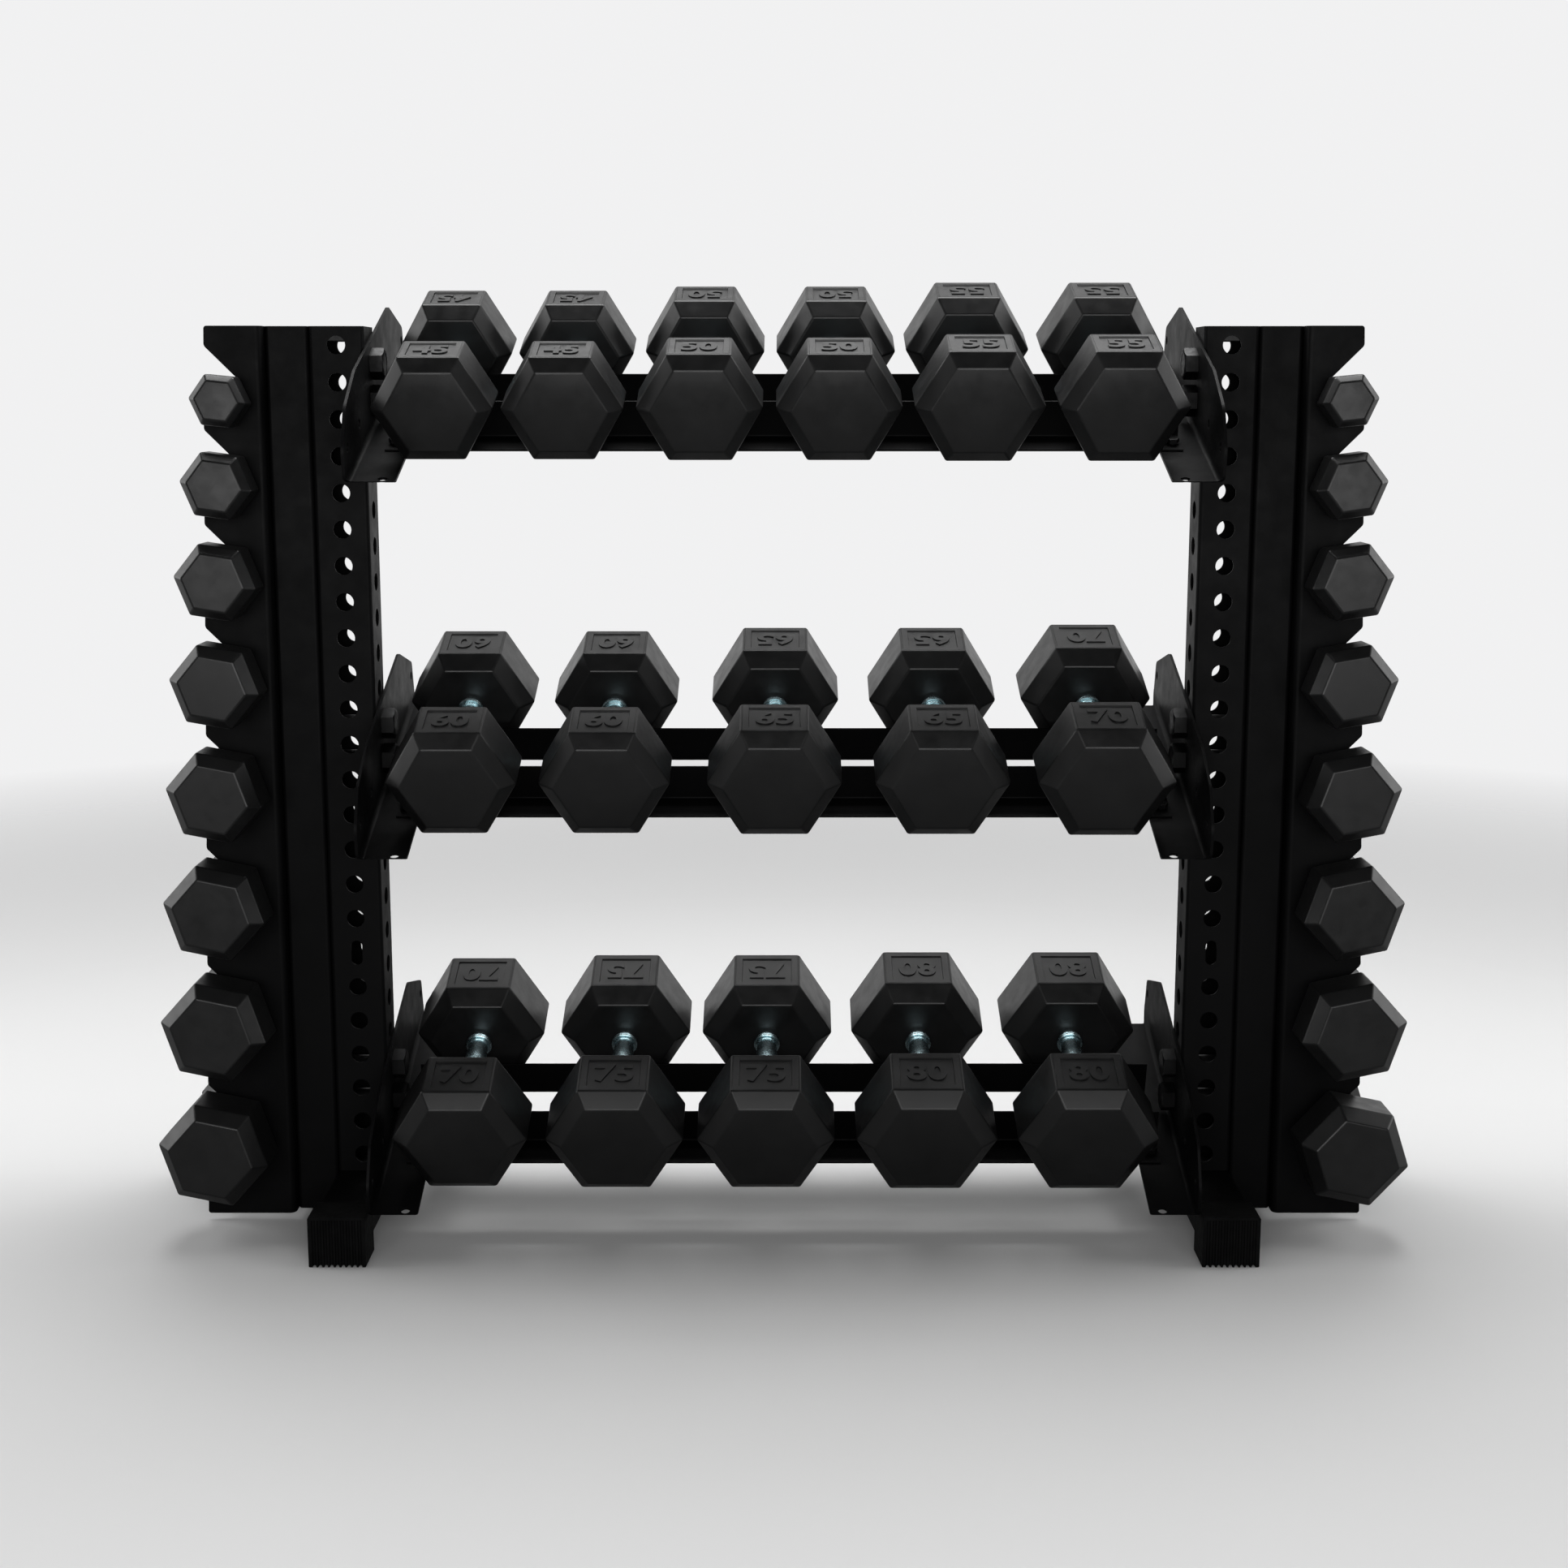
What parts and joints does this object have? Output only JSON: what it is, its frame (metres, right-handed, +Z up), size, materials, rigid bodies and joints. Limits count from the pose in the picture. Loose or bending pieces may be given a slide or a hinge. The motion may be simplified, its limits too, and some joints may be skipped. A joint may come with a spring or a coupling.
{
  "type": "dumbbell rack",
  "caption": "Free-standing steel rack with tilted two-rail shelves and notched side cradles, loaded with lift-off hexagonal dumbbells.",
  "frame": {"origin": "on the floor, at the middle of the footprint", "axes": "+X along the shelves to the right, +Y to the back, +Z up"},
  "size_m": [1.773, 0.52, 1.3528],
  "materials": {
    "frame_steel": "satin black powder coat",
    "fastener_steel": "black oxide",
    "boot_rubber": "matt ribbed rubber",
    "plug_plastic": "matt moulded plastic",
    "dumbbell_rubber": "matt moulded rubber over cast iron",
    "handle_chrome": "polished chrome"
  },
  "bodies": {
    "rack": {"left_upright": "frame_steel", "right_upright": "frame_steel", "left_base_tube": "frame_steel", "right_base_tube": "frame_steel", "front_foot_boots": "boot_rubber", "rear_foot_boots": "boot_rubber", "upright_plugs": "plug_plastic", "spine_plugs": "plug_plastic", "left_side_spine": "frame_steel", "right_side_spine": "frame_steel", "left_side_cradle": "frame_steel", "right_side_cradle": "frame_steel", "top_left_bracket": "frame_steel", "top_right_bracket": "frame_steel", "middle_left_bracket": "frame_steel", "middle_right_bracket": "frame_steel", "bottom_left_bracket": "frame_steel", "bottom_right_bracket": "frame_steel", "top_front_rail": "frame_steel", "top_rear_rail": "frame_steel", "middle_front_rail": "frame_steel", "middle_rear_rail": "frame_steel", "bottom_front_rail": "frame_steel", "bottom_rear_rail": "frame_steel", "shelf_bolts": "fastener_steel", "shelf_nuts": "fastener_steel", "rail_bolts": "fastener_steel", "rail_nuts": "fastener_steel"},
    "top_dumbbell_1": {"top_dumbbell_1": "dumbbell_rubber"},
    "top_dumbbell_2": {"top_dumbbell_2": "dumbbell_rubber"},
    "top_dumbbell_3": {"top_dumbbell_3": "dumbbell_rubber"},
    "top_dumbbell_4": {"top_dumbbell_4": "dumbbell_rubber"},
    "top_dumbbell_5": {"top_dumbbell_5": "dumbbell_rubber"},
    "top_dumbbell_6": {"top_dumbbell_6": "dumbbell_rubber"},
    "middle_dumbbell_1": {"middle_dumbbell_1": "dumbbell_rubber"},
    "middle_dumbbell_2": {"middle_dumbbell_2": "dumbbell_rubber"},
    "middle_dumbbell_3": {"middle_dumbbell_3": "dumbbell_rubber"},
    "middle_dumbbell_4": {"middle_dumbbell_4": "dumbbell_rubber"},
    "middle_dumbbell_5": {"middle_dumbbell_5": "dumbbell_rubber"},
    "bottom_dumbbell_1": {"bottom_dumbbell_1": "dumbbell_rubber"},
    "bottom_dumbbell_2": {"bottom_dumbbell_2": "dumbbell_rubber"},
    "bottom_dumbbell_3": {"bottom_dumbbell_3": "dumbbell_rubber"},
    "bottom_dumbbell_4": {"bottom_dumbbell_4": "dumbbell_rubber"},
    "bottom_dumbbell_5": {"bottom_dumbbell_5": "dumbbell_rubber"},
    "left_dumbbell_1": {"left_dumbbell_1": "dumbbell_rubber"},
    "left_dumbbell_2": {"left_dumbbell_2": "dumbbell_rubber"},
    "left_dumbbell_3": {"left_dumbbell_3": "dumbbell_rubber"},
    "left_dumbbell_4": {"left_dumbbell_4": "dumbbell_rubber"},
    "left_dumbbell_5": {"left_dumbbell_5": "dumbbell_rubber"},
    "left_dumbbell_6": {"left_dumbbell_6": "dumbbell_rubber"},
    "left_dumbbell_7": {"left_dumbbell_7": "dumbbell_rubber"},
    "left_dumbbell_8": {"left_dumbbell_8": "dumbbell_rubber"},
    "right_dumbbell_1": {"right_dumbbell_1": "dumbbell_rubber"},
    "right_dumbbell_2": {"right_dumbbell_2": "dumbbell_rubber"},
    "right_dumbbell_3": {"right_dumbbell_3": "dumbbell_rubber"},
    "right_dumbbell_4": {"right_dumbbell_4": "dumbbell_rubber"},
    "right_dumbbell_5": {"right_dumbbell_5": "dumbbell_rubber"},
    "right_dumbbell_6": {"right_dumbbell_6": "dumbbell_rubber"},
    "right_dumbbell_7": {"right_dumbbell_7": "dumbbell_rubber"},
    "right_dumbbell_8": {"right_dumbbell_8": "dumbbell_rubber"}
  },
  "joints": [
    {"name": "top_dumbbell_1_lift", "type": "slide", "parent": "rack", "child": "top_dumbbell_1", "axis": [0, -0.3156, 0.9489], "range_m": [0, 0.25]},
    {"name": "top_dumbbell_2_lift", "type": "slide", "parent": "rack", "child": "top_dumbbell_2", "axis": [0, -0.3156, 0.9489], "range_m": [0, 0.25]},
    {"name": "top_dumbbell_3_lift", "type": "slide", "parent": "rack", "child": "top_dumbbell_3", "axis": [0, -0.3156, 0.9489], "range_m": [0, 0.25]},
    {"name": "top_dumbbell_4_lift", "type": "slide", "parent": "rack", "child": "top_dumbbell_4", "axis": [0, -0.3156, 0.9489], "range_m": [0, 0.25]},
    {"name": "top_dumbbell_5_lift", "type": "slide", "parent": "rack", "child": "top_dumbbell_5", "axis": [0, -0.3156, 0.9489], "range_m": [0, 0.25]},
    {"name": "top_dumbbell_6_lift", "type": "slide", "parent": "rack", "child": "top_dumbbell_6", "axis": [0, -0.3156, 0.9489], "range_m": [0, 0.25]},
    {"name": "middle_dumbbell_1_lift", "type": "slide", "parent": "rack", "child": "middle_dumbbell_1", "axis": [0, -0.3156, 0.9489], "range_m": [0, 0.25]},
    {"name": "middle_dumbbell_2_lift", "type": "slide", "parent": "rack", "child": "middle_dumbbell_2", "axis": [0, -0.3156, 0.9489], "range_m": [0, 0.25]},
    {"name": "middle_dumbbell_3_lift", "type": "slide", "parent": "rack", "child": "middle_dumbbell_3", "axis": [0, -0.3156, 0.9489], "range_m": [0, 0.25]},
    {"name": "middle_dumbbell_4_lift", "type": "slide", "parent": "rack", "child": "middle_dumbbell_4", "axis": [0, -0.3156, 0.9489], "range_m": [0, 0.25]},
    {"name": "middle_dumbbell_5_lift", "type": "slide", "parent": "rack", "child": "middle_dumbbell_5", "axis": [0, -0.3156, 0.9489], "range_m": [0, 0.25]},
    {"name": "bottom_dumbbell_1_lift", "type": "slide", "parent": "rack", "child": "bottom_dumbbell_1", "axis": [0, -0.3156, 0.9489], "range_m": [0, 0.25]},
    {"name": "bottom_dumbbell_2_lift", "type": "slide", "parent": "rack", "child": "bottom_dumbbell_2", "axis": [0, -0.3156, 0.9489], "range_m": [0, 0.25]},
    {"name": "bottom_dumbbell_3_lift", "type": "slide", "parent": "rack", "child": "bottom_dumbbell_3", "axis": [0, -0.3156, 0.9489], "range_m": [0, 0.25]},
    {"name": "bottom_dumbbell_4_lift", "type": "slide", "parent": "rack", "child": "bottom_dumbbell_4", "axis": [0, -0.3156, 0.9489], "range_m": [0, 0.25]},
    {"name": "bottom_dumbbell_5_lift", "type": "slide", "parent": "rack", "child": "bottom_dumbbell_5", "axis": [0, -0.3156, 0.9489], "range_m": [0, 0.25]},
    {"name": "left_dumbbell_1_slide_out", "type": "slide", "parent": "rack", "child": "left_dumbbell_1", "axis": [-0.7071, 0, 0.7071], "range_m": [0, 0.05]},
    {"name": "left_dumbbell_2_slide_out", "type": "slide", "parent": "rack", "child": "left_dumbbell_2", "axis": [-0.7071, 0, 0.7071], "range_m": [0, 0.05]},
    {"name": "left_dumbbell_3_slide_out", "type": "slide", "parent": "rack", "child": "left_dumbbell_3", "axis": [-0.7071, 0, 0.7071], "range_m": [0, 0.05]},
    {"name": "left_dumbbell_4_slide_out", "type": "slide", "parent": "rack", "child": "left_dumbbell_4", "axis": [-0.7071, 0, 0.7071], "range_m": [0, 0.05]},
    {"name": "left_dumbbell_5_slide_out", "type": "slide", "parent": "rack", "child": "left_dumbbell_5", "axis": [-0.7071, 0, 0.7071], "range_m": [0, 0.05]},
    {"name": "left_dumbbell_6_slide_out", "type": "slide", "parent": "rack", "child": "left_dumbbell_6", "axis": [-0.7071, 0, 0.7071], "range_m": [0, 0.05]},
    {"name": "left_dumbbell_7_slide_out", "type": "slide", "parent": "rack", "child": "left_dumbbell_7", "axis": [-0.7071, 0, 0.7071], "range_m": [0, 0.05]},
    {"name": "left_dumbbell_8_slide_out", "type": "slide", "parent": "rack", "child": "left_dumbbell_8", "axis": [-0.7071, 0, 0.7071], "range_m": [0, 0.05]},
    {"name": "right_dumbbell_1_slide_out", "type": "slide", "parent": "rack", "child": "right_dumbbell_1", "axis": [0.7071, 0, 0.7071], "range_m": [0, 0.05]},
    {"name": "right_dumbbell_2_slide_out", "type": "slide", "parent": "rack", "child": "right_dumbbell_2", "axis": [0.7071, 0, 0.7071], "range_m": [0, 0.05]},
    {"name": "right_dumbbell_3_slide_out", "type": "slide", "parent": "rack", "child": "right_dumbbell_3", "axis": [0.7071, 0, 0.7071], "range_m": [0, 0.05]},
    {"name": "right_dumbbell_4_slide_out", "type": "slide", "parent": "rack", "child": "right_dumbbell_4", "axis": [0.7071, 0, 0.7071], "range_m": [0, 0.05]},
    {"name": "right_dumbbell_5_slide_out", "type": "slide", "parent": "rack", "child": "right_dumbbell_5", "axis": [0.7071, 0, 0.7071], "range_m": [0, 0.05]},
    {"name": "right_dumbbell_6_slide_out", "type": "slide", "parent": "rack", "child": "right_dumbbell_6", "axis": [0.7071, 0, 0.7071], "range_m": [0, 0.05]},
    {"name": "right_dumbbell_7_slide_out", "type": "slide", "parent": "rack", "child": "right_dumbbell_7", "axis": [0.7071, 0, 0.7071], "range_m": [0, 0.05]},
    {"name": "right_dumbbell_8_slide_out", "type": "slide", "parent": "rack", "child": "right_dumbbell_8", "axis": [0.7071, 0, 0.7071], "range_m": [0, 0.05]}
  ]
}
